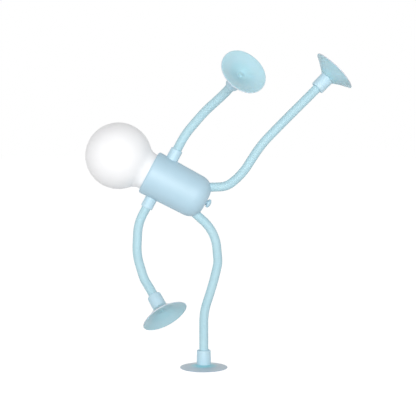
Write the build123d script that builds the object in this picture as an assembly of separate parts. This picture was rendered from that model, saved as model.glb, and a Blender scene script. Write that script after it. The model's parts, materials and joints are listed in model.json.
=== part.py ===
from build123d import *
import os
from math import asin, atan2, cos, pi, radians, sin, sqrt

os.makedirs("parts", exist_ok=True)

# Rechargeable night lamp shaped like a tumbling figure: a frosted globe on a round housing, with
# four gooseneck limbs that each end in a suction cup. Millimetres, +Z up, +X to the right of the
# picture, +Y away from the viewer. The origin is the middle of the standing suction cup's face.
# Inside the housing, local z runs from the rim (0) to the flat end with the button, local x points
# to the side of the raised limbs, and local y points to the viewer, so the back is local -y.

# Housing, an ABS cup that is open at the globe's end
housing_length = 48.9
housing_radius_rim = 17.1
housing_draft = 0.95
housing_wall = 1.8
rim_land = 0.6
flat_end_radius = 5.3

# Globe, a blown frosted diffuser with a flared neck that snaps into the rim
globe_radius = 25.0
globe_rise = 5.1
globe_wall = 1.2
neck_setback = 2.7
neck_flare = 9.0
neck_depth = 3.9
neck_clearance = 0.2
snap_bead = 0.45
snap_bead_place = 2.6

# Gooseneck limbs: a soft sleeve over a bending wire
hose_radius = 3.5
hose_wall = 2.0
wire_play = 0.1
seat_clearance = 0.3
wire_setback = 0.25
ball_wire_setback = 0.4
fit_clearance = 0.06

# Limb roots in the housing
shoulder_length = 7.7
shoulder_wall = 1.04
shoulder_round = 0.6
shoulder_flange_width = 0.4
shoulder_flange = 1.2
shoulder_gap = 0.2
arm_pivot_out = 1.5
leg_hole_slope = 36.2
raised_splay = 30.0
standing_splay = 14.0
leg_pivot_out = 2.8
leg_hole_clearance = 0.1
leg_boss_wall = 1.4
raised_boss_depth = 5.0
standing_boss_depth = 9.0
ferrule_wall = 0.7
ferrule_length = 3.0

# Hands and feet
collar_length = 11.0
collar_wall = 1.72
collar_flare = 0.15
collar_round = 0.9
collar_edge = 0.4
collar_hose_depth = 5.6
cup_radius = 17.9
cup_depth = 8.0
cup_neck_width = 0.55
cup_middle = 3.2
cup_lip = 0.9
cup_edge = 0.7
bell_outside = 0.62
bell_inside = 0.60
cup_well_radius = 3.0
cup_nub_radius = 1.3
cup_nub_height = 0.7
cup_post_wall = 2.2
pressed_spread = 0.2
pressed_height = 2.6
pressed_edge = 0.5
pressed_pad_radius = 4.2
pressed_lip_width = 6.2
pressed_hollow = 0.5
pressed_sag = 0.36

# Light: a plate that closes the housing and carries the board of chips
ledge_overlap = 1.0
ledge_thickness = 0.8
seat_gap = 0.2
seat_flange_clearance = 0.3
seat_flange = 1.0
seat_hub_clearance = 0.2
seat_hub = 1.5
led_board_inset = 1.1
led_board_thickness = 1.0
chip_width = 2.8
chip_length = 3.5
chip_height = 0.8
chip_inset = 4.5
chip_count = 6
led_screw_inset = 2.1
screw_head_radius = 1.5
screw_head_height = 1.0
screw_radius = 0.95
screw_clearance = 0.1
screw_depth = 3.0

# Electronics
board_side_gap = 3.1
board_top_gap = 2.4
board_low_gap = 1.4
board_thickness = 1.0
board_post_height = 5.6
board_post_radius = 1.8
board_screw_inset = 2.5
board_screw_high_inset = 1.5
board_screw_low_inset = 3.0
post_overrun = 1.0
pad_thickness = 0.8
cell_side_inset = 0.5
cell_top_inset = 3.5
cell_low_inset = 5.5
cell_thickness = 6.0
cell_edge_round = 1.2
lead_radius = 0.6
lead_bend = 1.3
lead_spacing = 3.0
lead_hole_clearance = 0.35
led_lead_inset = 1.4
led_lead_rise = 1.7
cell_lead_drop = 1.8
usb_inset = 10.0
usb_width = 8.9
usb_height = 3.2
usb_corner_land = 0.01
usb_recess = 1.4
usb_wall = 0.3
usb_back_wall = 0.8
usb_tongue_width = 6.2
usb_tongue_height = 0.7
usb_slot_clearance = 0.2

# Switch and push button on the axis
switch_board_gap = 0.52
switch_post_offset = 6.0
switch_post_radius = 1.5
switch_side = 6.0
switch_height = 3.4
plunger_radius = 1.7
plunger_height = 1.2
button_travel = 0.8
button_stop_gap = 0.2
button_reach = 3.9
button_cap_radius = 3.3
button_cap_gap = 1.0
button_brim = 1.7
button_stem_radius = 2.0
button_flange_radius = 3.1
button_flange = 0.9
button_rest_gap = 0.2
button_clearance = 0.1

# Limb routes. Each row is one length of gooseneck between two bending places, made of steps:
# length, turn in the picture plane, lean away from the viewer. Arms and the raised leg run from
# the housing outwards, and the standing leg runs from its foot up to the housing.
pivot_straight = 4.1
raised_arm_run = 14.8
lowered_arm_bend = 15.3
lowered_arm_half = 7.65
raised_hip_bend = 9.4
raised_thigh_sweep = 18.4
raised_knee_run = 19.1
raised_shin_run = 14.8
ankle_run = 17.5
standing_shin_run = 14.7
standing_calf_run = 17.9
standing_knee_straight = 3.0
standing_knee_bend = 6.0
standing_thigh_run = 23.8
raised_arm_rows = [
    [(raised_arm_run, 12.2, -14.5)],
    [(raised_arm_run, 6.4, -15.0)],
    [(raised_arm_run, -5.1, -18.5)],
]
lowered_arm_rows = [
    [(lowered_arm_bend, -25.2, -10.5)],
    [(lowered_arm_bend, -19.7, -11.5)],
    [(lowered_arm_half, -15.1, -5.0), (lowered_arm_half, 2.8, -5.5)],
]
raised_leg_rows = [
    [(raised_hip_bend, -35.3, 0.0), (raised_thigh_sweep, -20.3, 0.0)],
    [(raised_knee_run, 11.8, 0.0)],
    [(raised_shin_run, 0.9, 0.0)],
    [(raised_shin_run, 0.2, 8.0)],
]
standing_leg_rows = [
    [(standing_shin_run, 17.8, 0.0)],
    [(standing_calf_run, -5.0, 0.0), (standing_knee_straight, 0.0, 0.0), (standing_knee_bend, -17.7, 0.0)],
    [(standing_thigh_run, -43.1, 0.0)],
]

# Sizes that follow: gooseneck and what is fitted round it
hose_bore = hose_radius - hose_wall
wire_radius = hose_bore - wire_play
seat_radius = hose_radius + seat_clearance
hose_hole = hose_radius + fit_clearance
shoulder_radius = hose_hole + shoulder_wall
shoulder_flange_radius = shoulder_radius + shoulder_flange_width
leg_hole = hose_radius + leg_hole_clearance
leg_boss_radius = leg_hole + leg_boss_wall
ferrule_radius = hose_radius + ferrule_wall
collar_radius_hose = hose_hole + collar_wall
collar_radius_cup = collar_radius_hose + collar_flare
collar_post_depth = collar_length - collar_hose_depth
cup_neck_radius = collar_radius_cup + cup_neck_width
cup_post_radius = collar_radius_cup - cup_post_wall
pressed_radius = cup_radius + pressed_spread
pressed_lip_inner = pressed_radius - pressed_lip_width

# Sizes that follow: housing, globe and the legs' holes on its round corner
housing_radius_low = housing_radius_rim - housing_draft
housing_inner_rim = housing_radius_rim - housing_wall
bottom_round = housing_radius_low - flat_end_radius
inner_end = housing_length - housing_wall
neck_radius = housing_radius_rim - neck_setback
rim_opening = neck_radius + neck_clearance
rim_round = housing_radius_rim - rim_opening - rim_land
globe_centre = -(globe_rise + sqrt(globe_radius**2 - neck_radius**2))
leg_hole_offset = flat_end_radius + bottom_round * sin(radians(leg_hole_slope))
leg_hole_place = housing_length - bottom_round + bottom_round * cos(radians(leg_hole_slope))

# Sizes that follow: light and the arms' place below it
ledge_place = neck_depth + seat_gap + seat_flange
seat_flange_radius = rim_opening - seat_flange_clearance
ledge_inner_radius = seat_flange_radius - ledge_overlap
seat_hub_radius = neck_radius - globe_wall - seat_hub_clearance
seat_top = ledge_place - seat_flange - seat_hub
board_top = seat_top - led_board_thickness
led_board_radius = seat_hub_radius - led_board_inset
chip_circle = led_board_radius - chip_inset
led_screw_offset = led_board_radius - led_screw_inset
arm_station = ledge_place + ledge_thickness + shoulder_gap + shoulder_flange_radius
housing_taper = housing_draft / housing_length
inner_at_flange = housing_inner_rim - housing_taper * (arm_station + shoulder_flange_radius)
flange_face = sqrt(inner_at_flange**2 - shoulder_flange_radius**2) - fit_clearance
shoulder_back = flange_face - shoulder_flange - housing_radius_rim

# Sizes that follow: switch, then the boards, from the button's flange inwards
plunger_top = inner_end - button_rest_gap - button_flange - button_travel - button_stop_gap
switch_top = plunger_top - plunger_height
switch_front = switch_top - switch_height
switch_board_place = switch_front - board_thickness
leg_splays = {-1: standing_splay, 1: raised_splay}
leg_boss_depths = {-1: standing_boss_depth, 1: raised_boss_depth}
leg_depths = {side: depth + ferrule_length for side, depth in leg_boss_depths.items()}
leg_inner_edge = leg_hole_offset - leg_depths[1] * sin(radians(raised_splay))
leg_inner_edge -= ferrule_radius * cos(radians(raised_splay))
switch_board_width = 2 * (leg_inner_edge - switch_board_gap)
switch_board_length = 2 * (switch_post_offset + switch_post_radius)
board_start = ledge_place + ledge_thickness + board_top_gap
board_end = switch_board_place - board_low_gap
board_back = housing_inner_rim - board_post_height
board_front = board_back - board_thickness
board_width = 2 * (sqrt(housing_inner_rim**2 - board_back**2) - board_side_gap)
board_screw_x = board_width / 2 - board_screw_inset
board_screw_places = (board_start + board_screw_high_inset, board_end - board_screw_low_inset)
cell_width = board_width - 2 * cell_side_inset
cell_start = board_start + cell_top_inset
cell_end = board_end - cell_low_inset
cell_middle = (cell_start + cell_end) / 2
cell_front = board_front - pad_thickness - cell_thickness
cell_line = -(cell_front + cell_thickness / 2)
led_lead_start = board_start + led_lead_inset
lead_line = -(board_front - led_lead_rise)
usb_place = board_end - usb_inset
usb_reach = housing_radius_rim - usb_recess
usb_cavity_depth = usb_reach - board_back - usb_back_wall
UP = (Align.CENTER, Align.CENTER, Align.MIN)


def rod(radius, start, end):
    """A round bar along z between two heights."""
    return Pos(0, 0, start) * Cylinder(radius, end - start, align=UP)


def slab(width, depth, start, end):
    """A rectangular block around the z axis between two heights."""
    return Pos(0, 0, start) * Box(width, depth, end - start, align=UP)


def turned(outline):
    """A solid of revolution around z from an outline drawn as radius and height."""
    return revolve(Plane.XZ * make_face(outline), Axis.Z)


def dome(radius, base, top):
    """Arc of a round dome, from its edge at a base height up to the z axis."""
    height = top - base
    ball = (radius**2 + height**2) / (2 * height)
    slope = asin(radius / ball) / 2
    return ThreePointArc((radius, base), (ball * sin(slope), top - ball * (1 - cos(slope))), (0, top))


def walk(point, heading, steps):
    """Runs and tangent arcs from a point: their edges, and where they end."""
    edges = []
    for length, turn, lean in steps:
        if not turn and not lean:
            end = point + heading * length
            edges.append(Edge.make_line(point, end))
            point = end
            continue
        level = (Vector(0, 1, 0) - heading * heading.Y).normalized()
        spin = level * turn + heading.cross(level) * lean
        angle = spin.length
        axis = spin.normalized()
        centre = point + axis.cross(heading) * (length / radians(angle))
        middle = centre + (point - centre).rotate(Axis((0, 0, 0), axis), angle / 2)
        end = centre + (point - centre).rotate(Axis((0, 0, 0), axis), angle)
        edges.append(Edge.make_three_point_arc(point, middle, end))
        point = end
        heading = heading.rotate(Axis((0, 0, 0), axis), angle)
    return edges, point, heading


def tube(edges, radius):
    """A round bar along a chain of tangent edges."""
    face = Plane(edges[0] @ 0, z_dir=edges[0] % 0) * Circle(radius)
    return sweep(face, path=Wire(edges))


def on_sphere(radius, out):
    """Height at which a sphere round the origin is a distance out from the z axis."""
    return sqrt(radius**2 - out**2)


def tip_end(length):
    """Sleeve and wire from a bending place (0) up to a height, with the round tip below it."""
    low = -on_sphere(hose_radius, hose_bore)
    slope = (atan2(hose_bore, -low) + pi / 2) / 2
    middle = (hose_radius * sin(slope), -hose_radius * cos(slope))
    outline = [
        ThreePointArc((hose_bore, low), middle, (hose_radius, 0)),
        Polyline((hose_radius, 0), (hose_radius, length), (hose_bore, length), (hose_bore, low)),
    ]
    return turned(outline), rod(wire_radius, ball_wire_setback - hose_radius, length)


def seat_end(length):
    """Sleeve and wire up to a height, with the hollow seat round the tip of the length before."""
    inner = on_sphere(seat_radius, hose_bore)
    outer = on_sphere(seat_radius, hose_radius)
    slope = (atan2(hose_bore, inner) + atan2(hose_radius, outer)) / 2
    middle = (seat_radius * sin(slope), seat_radius * cos(slope))
    outline = [
        ThreePointArc((hose_bore, inner), middle, (hose_radius, outer)),
        Polyline((hose_radius, outer), (hose_radius, length), (hose_bore, length), (hose_bore, inner)),
    ]
    return turned(outline), rod(wire_radius, seat_radius + wire_setback, length)


def gooseneck(point, heading, row, tail=0.0):
    """One length of sleeve and its wire. A hollow seat at its start goes round the tip of the
    length before, and its own end is a round tip, or straight and flat for a given tail. Both ends
    are centred on their bending places. Returns the two solids and where the length ends."""
    at = Plane(point, z_dir=heading).location
    sleeve, wire = [at * shape for shape in seat_end(pivot_straight)]
    edges, point, heading = walk(point + heading * pivot_straight, heading, row)
    sleeve = sleeve + (tube(edges, hose_radius) - tube(edges, hose_bore))
    wire = wire + tube(edges, wire_radius)
    end = point + heading * pivot_straight
    if tail:
        at = Plane(point, z_dir=heading).location
        straight = rod(hose_radius, 0, pivot_straight + tail) - rod(hose_bore, 0, pivot_straight + tail)
        return sleeve + at * straight, wire + at * rod(wire_radius, 0, pivot_straight + tail), end, heading
    at = Plane(end, z_dir=heading * -1).location
    tip, tip_wire = tip_end(pivot_straight)
    return sleeve + at * tip, wire + at * tip_wire, end, heading


def limb(name, point, heading, rows):
    """The moving lengths of a limb. Returns its solids, its bending places and its far end."""
    solids, places = {}, []
    for number, row in enumerate(rows, 1):
        places.append((point, heading))
        tail = collar_hose_depth if number == len(rows) else 0
        sleeve, wire, point, heading = gooseneck(point, heading, row, tail)
        solids[f"{name}_hose_{number}"] = sleeve
        solids[f"{name}_wire_{number}"] = wire
    return solids, places, point, heading


def collar():
    """Ankle or wrist sleeve along +z: the hose goes in at z = 0 and the cup's post at the end."""
    post_hole = cup_post_radius + fit_clearance
    outline = Polyline(
        (hose_hole, 0),
        (collar_radius_hose, 0),
        (collar_radius_cup, collar_length),
        (post_hole, collar_length),
        (post_hole, collar_hose_depth),
        (hose_hole, collar_hose_depth),
        (hose_hole, 0),
    )
    face = make_face(outline)
    hose_end = face.vertices().sort_by(Axis.X)[-2:].sort_by(Axis.Y)[0]
    face = fillet(hose_end, collar_round)
    cup_end = face.vertices().sort_by(Axis.X)[-1]
    return revolve(Plane.XZ * fillet(cup_end, collar_edge), Axis.Z)


def suction_cup():
    """Free cup along +z from its back (0) to its rim: a flared bell with a thick middle, a thin
    skirt with a flat lip, a small nub inside and a post for the collar."""
    skirt = cup_depth - cup_edge
    lip_inner = cup_radius - cup_lip
    post_end = -(collar_post_depth - fit_clearance)
    nub_top = cup_middle + cup_nub_height
    outer_middle = ((cup_neck_radius + cup_radius) / 2, skirt * bell_outside)
    inner_middle = ((cup_well_radius + lip_inner) / 2, cup_middle + (cup_depth - cup_middle) * bell_inside)
    outline = [
        Polyline((0, post_end), (cup_post_radius, post_end), (cup_post_radius, 0), (cup_neck_radius, 0)),
        ThreePointArc((cup_neck_radius, 0), outer_middle, (cup_radius, skirt)),
        Polyline((cup_radius, skirt), (cup_radius, cup_depth), (lip_inner, cup_depth)),
        ThreePointArc((lip_inner, cup_depth), inner_middle, (cup_well_radius, cup_middle)),
        Line((cup_well_radius, cup_middle), (cup_nub_radius, cup_middle)),
        dome(cup_nub_radius, cup_middle, nub_top),
        Line((0, nub_top), (0, post_end)),
    ]
    return turned(outline)


def pressed_cup():
    """Standing cup, squeezed flat on the surface, with its face at z = 0 and its post up."""
    post_end = pressed_height + collar_post_depth - fit_clearance
    slope_middle = (
        (pressed_radius + cup_neck_radius) / 2,
        pressed_edge + (pressed_height - pressed_edge) * pressed_sag,
    )
    outline = [
        Polyline(
            (0, 0),
            (pressed_pad_radius, 0),
            (pressed_pad_radius + pressed_hollow, pressed_hollow),
            (pressed_lip_inner - pressed_hollow, pressed_hollow),
            (pressed_lip_inner, 0),
            (pressed_radius, 0),
            (pressed_radius, pressed_edge),
        ),
        ThreePointArc((pressed_radius, pressed_edge), slope_middle, (cup_neck_radius, pressed_height)),
        Polyline(
            (cup_neck_radius, pressed_height),
            (cup_post_radius, pressed_height),
            (cup_post_radius, post_end),
            (0, post_end),
            (0, 0),
        ),
    ]
    return turned(outline)


def hand(name, point, heading):
    """Collar and free suction cup at the far end of a limb."""
    at = Plane(point, z_dir=heading).location
    cup = at * Pos(0, 0, collar_length) * suction_cup()
    return {f"{name}_collar": at * collar(), f"{name}_suction_cup": cup}


# Places in the housing's own frame


def leg_axis(side):
    """Plane on the middle of a leg hole, its z pointing out along the leg."""
    splay = radians(leg_splays[side])
    out = (side * sin(splay), 0, cos(splay))
    return Plane((side * leg_hole_offset, 0, leg_hole_place), z_dir=out)


def arm_axis(side):
    """Plane on the housing's side at the arms' station, its z pointing out along the arm."""
    return Plane((side * housing_radius_rim, 0, arm_station), z_dir=(side, 0, 0))


def housing_outline(radius_rim, radius_low, start, end, bottom):
    """Half profile of the housing between two heights, with its round bottom corner."""
    face = make_face(Polyline((0, start), (radius_rim, start), (radius_low, end), (0, end), (0, start)))
    corner = face.vertices().sort_by(Axis.Y)[-2:].sort_by(Axis.X)[-1]
    return fillet(corner, bottom)


def body_shell():
    """Moulded cup with its rim lip, ledge, bosses, screw posts, limb holes and socket slot."""
    outer = housing_outline(housing_radius_rim, housing_radius_low, 0, housing_length, bottom_round)
    edge = outer.vertices().sort_by(Axis.Y)[:2].sort_by(Axis.X)[-1]
    solid = revolve(Plane.XZ * fillet(edge, rim_round), Axis.Z)
    room = revolve(
        Plane.XZ
        * housing_outline(
            housing_inner_rim,
            housing_radius_low - housing_wall,
            housing_wall,
            inner_end,
            bottom_round - housing_wall,
        ),
        Axis.Z,
    )
    shell = solid - room - rod(rim_opening, -housing_wall, housing_wall)
    ledge = rod(housing_inner_rim, ledge_place, ledge_place + ledge_thickness)
    ledge = ledge - rod(ledge_inner_radius, ledge_place, ledge_place + ledge_thickness)
    extras = ledge
    for side in (-1, 1):
        extras = extras + leg_axis(side).location * rod(leg_boss_radius, -leg_boss_depths[side], 0)
        for place in board_screw_places:
            post = Rot(90, 0, 0) * rod(board_post_radius, board_back, housing_inner_rim + post_overrun)
            extras = extras + Pos(side * board_screw_x, 0, place) * post
        post = rod(switch_post_radius, switch_front, inner_end + post_overrun)
        extras = extras + Pos(0, side * switch_post_offset, 0) * post
    shell = shell + (extras & solid)
    for side in (-1, 1):
        shell = shell - leg_axis(side).location * rod(leg_hole, -housing_length / 2, housing_length / 4)
        shell = shell - arm_axis(side).location * rod(
            shoulder_radius + fit_clearance, -housing_wall * 2, housing_wall
        )
        for place in board_screw_places:
            pilot = Rot(90, 0, 0) * rod(screw_radius, board_back, board_back + screw_depth)
            shell = shell - Pos(side * board_screw_x, 0, place) * pilot
        pilot = rod(screw_radius, switch_front, switch_front + screw_depth)
        shell = shell - Pos(0, side * switch_post_offset, 0) * pilot
    shell = shell - rod(button_stem_radius + button_clearance, inner_end - housing_wall, housing_length * 2)
    slot = usb_block(usb_slot_clearance, board_back, housing_radius_rim * 2)
    return shell - slot


def usb_block(grow, start, end):
    """Rounded rectangle of the charging socket, from one depth towards the back to another."""
    corner = usb_height / 2 + grow - usb_corner_land
    outline = RectangleRounded(usb_width + 2 * grow, usb_height + 2 * grow, corner)
    return Pos(0, -start, usb_place) * (Rot(90, 0, 0) * extrude(outline, end - start))


def bulb_globe():
    """Hollow globe, open at its neck, with the flare and the snap bead."""

    def profile(globe, neck, flare, end):
        disc = Pos(0, globe_centre) * Circle(globe)
        stem = Pos(0, globe_centre) * Rectangle(2 * neck, end - globe_centre, align=(Align.CENTER, Align.MIN))
        both = disc + stem
        height = globe_centre + sqrt(globe**2 - neck**2)
        corners = both.vertices().sort_by(lambda v: abs(v.Y - height))[:2]
        both = fillet(corners, flare)
        half = Pos(0, globe_centre - 2 * globe) * Rectangle(
            2 * globe, 4 * globe, align=(Align.MIN, Align.MIN)
        )
        return both & half

    outside = profile(globe_radius, neck_radius, neck_flare, neck_depth)
    inside = profile(
        globe_radius - globe_wall, neck_radius - globe_wall, neck_flare + globe_wall, neck_depth + globe_wall
    )
    bead = Pos(neck_radius, snap_bead_place) * Circle(snap_bead)
    return revolve(Plane.XZ * (outside + bead - inside), Axis.Z)


def screw(depth):
    """Pan head screw along +z, its head below z = 0."""
    outline = Polyline(
        (0, -screw_head_height),
        (screw_head_radius - screw_head_height / 2, -screw_head_height),
        (screw_head_radius, -screw_head_height / 2),
        (screw_head_radius, 0),
        (screw_radius, 0),
        (screw_radius, depth),
        (0, depth),
        (0, -screw_head_height),
    )
    return turned(outline)


def led_parts():
    """Seat plate, board, chips and screws of the light."""
    plate = rod(seat_flange_radius, ledge_place - seat_flange, ledge_place)
    plate = plate + rod(seat_hub_radius, seat_top, ledge_place)
    board = rod(led_board_radius, board_top, seat_top)
    chip = slab(chip_width, chip_length, board_top - chip_height, board_top)
    chips = [chip] + [
        Rot(0, 0, 360 * i / chip_count) * Pos(chip_circle, 0, 0) * chip for i in range(chip_count)
    ]
    screws = []
    for side in (-1, 1):
        at = Pos(0, side * led_screw_offset, 0)
        depth = ledge_place - board_top
        screws.append(at * Pos(0, 0, board_top) * screw(depth))
        plate = plate - at * rod(screw_radius, seat_top, ledge_place)
        board = board - at * rod(screw_radius + screw_clearance, board_top, seat_top)
        lead = rod(lead_radius + lead_hole_clearance, seat_top, ledge_place)
        plate = plate - Pos(side * lead_spacing, lead_line, 0) * lead
    return {
        "led_seat_plate": plate,
        "led_board": board,
        "led_chips": chips,
        "led_board_screws": screws,
    }


def electronics():
    """Control board with its socket, screws, pad, cell, leads and switch."""
    middle = -(board_back + board_front) / 2
    high = board_start + (board_end - board_start) / 2
    board = Pos(0, middle, high) * Box(board_width, board_thickness, board_end - board_start)
    screws = []
    for side in (-1, 1):
        for place in board_screw_places:
            at = Pos(side * board_screw_x, -board_front, place) * Rot(90, 0, 0)
            screws.append(at * screw(board_thickness + screw_depth - screw_clearance))
            board = board - at * rod(screw_radius + screw_clearance, 0, board_thickness)
    pad_middle = -(board_front - pad_thickness / 2)
    cell_length = cell_end - cell_start
    pad = Pos(0, pad_middle, cell_middle) * Box(cell_width, pad_thickness, cell_length)
    cell = Pos(0, cell_line, cell_middle) * Box(cell_width, cell_thickness, cell_length)
    cell = fillet(cell.edges().filter_by(Axis.Z), cell_edge_round)
    socket = usb_block(0, board_back, usb_reach)
    socket = socket - usb_block(-usb_wall, usb_reach - usb_cavity_depth, usb_reach)
    tongue = Pos(0, -(usb_reach - usb_cavity_depth / 2) + fit_clearance, usb_place) * Box(
        usb_tongue_width, usb_cavity_depth, usb_tongue_height
    )
    switch_board = slab(switch_board_width, switch_board_length, switch_board_place, switch_front)
    for side in (-1, 1):
        at = Pos(0, side * switch_post_offset, switch_board_place)
        screws.append(at * screw(board_thickness + screw_depth - screw_clearance))
        switch_board = switch_board - at * rod(screw_radius + screw_clearance, 0, board_thickness)
    switch = slab(switch_side, switch_side, switch_front, switch_top)
    switch = switch + rod(plunger_radius, switch_top, plunger_top)
    led_leads, cell_leads = [], []
    for side in (-1, 1):
        x = side * lead_spacing
        led_leads.append(
            lead(
                (x, -board_front, led_lead_start),
                (x, lead_line, led_lead_start),
                (x, lead_line, seat_top),
            )
        )
        cell_leads.append(
            lead(
                (x, cell_line, cell_end),
                (x, cell_line, cell_end + cell_lead_drop),
                (x, -board_front, cell_end + cell_lead_drop),
            )
        )
    return {
        "control_board": board,
        "board_screws": screws,
        "battery_pad": pad,
        "battery_cell": cell,
        "usb_socket": socket + tongue,
        "switch_board": switch_board,
        "tact_switch": switch,
        "led_leads": led_leads,
        "battery_leads": cell_leads,
    }


def lead(*points):
    """Insulated wire through three points, with one round bend."""
    path = FilletPolyline(*points, radius=lead_bend)
    return tube(path.edges(), lead_radius)


def button_cap():
    """Mushroom button: domed head outside, stem through the end wall, flange inside."""
    top = housing_length + button_reach
    under = housing_length + button_cap_gap
    brim = under + button_brim
    flange_top = inner_end - button_rest_gap
    flange_low = flange_top - button_flange
    outline = [
        Polyline(
            (0, flange_low),
            (button_flange_radius, flange_low),
            (button_flange_radius, flange_top),
            (button_stem_radius, flange_top),
            (button_stem_radius, under),
            (button_cap_radius, under),
            (button_cap_radius, brim),
        ),
        dome(button_cap_radius, brim, top),
        Line((0, top), (0, flange_low)),
    ]
    return turned(outline)


def shoulder_collar():
    """Collar of an arm along +z from the housing's side (0), with its flange behind the wall."""
    barrel = Polyline(
        (hose_hole, shoulder_back),
        (shoulder_radius, shoulder_back),
        (shoulder_radius, shoulder_length),
        (hose_hole, shoulder_length),
        (hose_hole, shoulder_back),
    )
    face = make_face(barrel)
    corner = face.vertices().sort_by(Axis.Y)[-2:].sort_by(Axis.X)[-1]
    collar = revolve(Plane.XZ * fillet(corner, shoulder_round), Axis.Z)
    flange = rod(shoulder_flange_radius, shoulder_back, shoulder_back + shoulder_flange)
    return collar + (flange - rod(hose_hole, shoulder_back, shoulder_back + shoulder_flange))


def ferrule(top):
    """Crimped ring round the inner end of a gooseneck, under a height."""
    ring = rod(ferrule_radius, top - ferrule_length, top)
    return ring - rod(hose_radius, top - ferrule_length, top)


# Standing leg, from the foot up, which puts the housing in its place
foot_top = pressed_height + collar_length
foot_height = foot_top + ankle_run
solids = {}
joint_places = {}
point, heading = Vector(0, 0, foot_height), Vector(0, 0, 1)
at = Plane(point, z_dir=heading * -1).location
foot_tip, foot_wire = tip_end(ankle_run + collar_hose_depth)
solids["standing_leg_hose_4"] = at * foot_tip
solids["standing_leg_wire_4"] = at * foot_wire
solids["standing_leg_collar"] = Pos(0, 0, foot_top) * Rot(180, 0, 0) * collar()
solids["standing_leg_suction_cup"] = pressed_cup()
places = []
for number, row in zip((3, 2, 1), standing_leg_rows):
    places.append((point, heading))
    sleeve, wire, point, heading = gooseneck(point, heading, row)
    solids[f"standing_leg_hose_{number}"] = sleeve
    solids[f"standing_leg_wire_{number}"] = wire
places.append((point, heading))
joint_places["standing_leg"] = places

# The housing's frame, from the end of the standing leg
down_axis = (heading * -1).rotate(Axis.Y, -standing_splay)
side_axis = down_axis.rotate(Axis.Y, -90)
hole = point + heading * leg_pivot_out
rim = hole - down_axis * leg_hole_place + side_axis * leg_hole_offset
torso_plane = Plane(rim, x_dir=side_axis, z_dir=down_axis)
torso = torso_plane.location


def outward(plane, distance):
    """World point and heading on a limb's axis, a distance out from its place in the housing."""
    base = torso_plane.from_local_coords(plane.origin)
    tip = torso_plane.from_local_coords(plane.origin + plane.z_dir)
    ahead = tip - base
    return base + ahead * distance, ahead


# Roots of the limbs, fixed in the housing
root_names = ("arm_hose_roots", "leg_hose_roots", "wire_roots", "arm_ferrules", "leg_ferrules")
roots = {name: [] for name in root_names}
arm_reach = shoulder_length + arm_pivot_out
arm_depths = {side: ferrule_length - shoulder_back for side in (-1, 1)}
for kind, axis_of, depths, reach in (
    ("arm", arm_axis, arm_depths, arm_reach),
    ("leg", leg_axis, leg_depths, leg_pivot_out),
):
    for side in (-1, 1):
        end = seat_end if (kind, side) == ("leg", -1) else tip_end
        inner = depths[side] + reach
        sleeve, wire = end(inner)
        inward = torso * axis_of(side).location * Pos(0, 0, reach) * Rot(180, 0, 0)
        roots[f"{kind}_hose_roots"].append(inward * sleeve)
        roots["wire_roots"].append(inward * wire)
        roots[f"{kind}_ferrules"].append(inward * ferrule(inner))
solids.update(roots)
solids["lowered_shoulder_collar"] = torso * arm_axis(-1).location * shoulder_collar()
solids["raised_shoulder_collar"] = torso * arm_axis(1).location * shoulder_collar()

# Housing, light, electronics and button
solids["body_shell"] = torso * body_shell()
solids["bulb_globe"] = torso * bulb_globe()
solids["button_cap"] = torso * button_cap()
for name, shape in {**led_parts(), **electronics()}.items():
    solids[name] = [torso * s for s in shape] if isinstance(shape, list) else torso * shape

# The free limbs
for name, plane, reach, rows in (
    ("raised_arm", arm_axis(1), arm_reach, raised_arm_rows),
    ("lowered_arm", arm_axis(-1), arm_reach, lowered_arm_rows),
    ("raised_leg", leg_axis(1), leg_pivot_out, raised_leg_rows),
):
    point, heading = outward(plane, reach)
    pieces, places, end, heading = limb(name, point, heading, rows)
    solids.update(pieces)
    solids.update(hand(name, end, heading))
    joint_places[name] = places

for name, shape in solids.items():
    group = shape if isinstance(shape, list) else [shape]
    parts = [solid for item in group for solid in item.solids()]
    export_step(parts[0] if len(parts) == 1 else Compound(children=parts), f"parts/{name}.step")
print(len(solids), "nodes; rim at", rim, "axis", down_axis)
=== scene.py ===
# %% [markdown]
# # A flexible night lamp with gooseneck limbs
#
# The lamp is a frosted globe on a round moulded housing. Two gooseneck arms and two gooseneck legs
# leave the housing, and each ends in a collar and a soft suction cup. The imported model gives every
# piece its size and place. This script dresses it: it makes the surfaces that show and gives each
# of them the finish of its real material.

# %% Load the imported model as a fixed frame
import json

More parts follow.
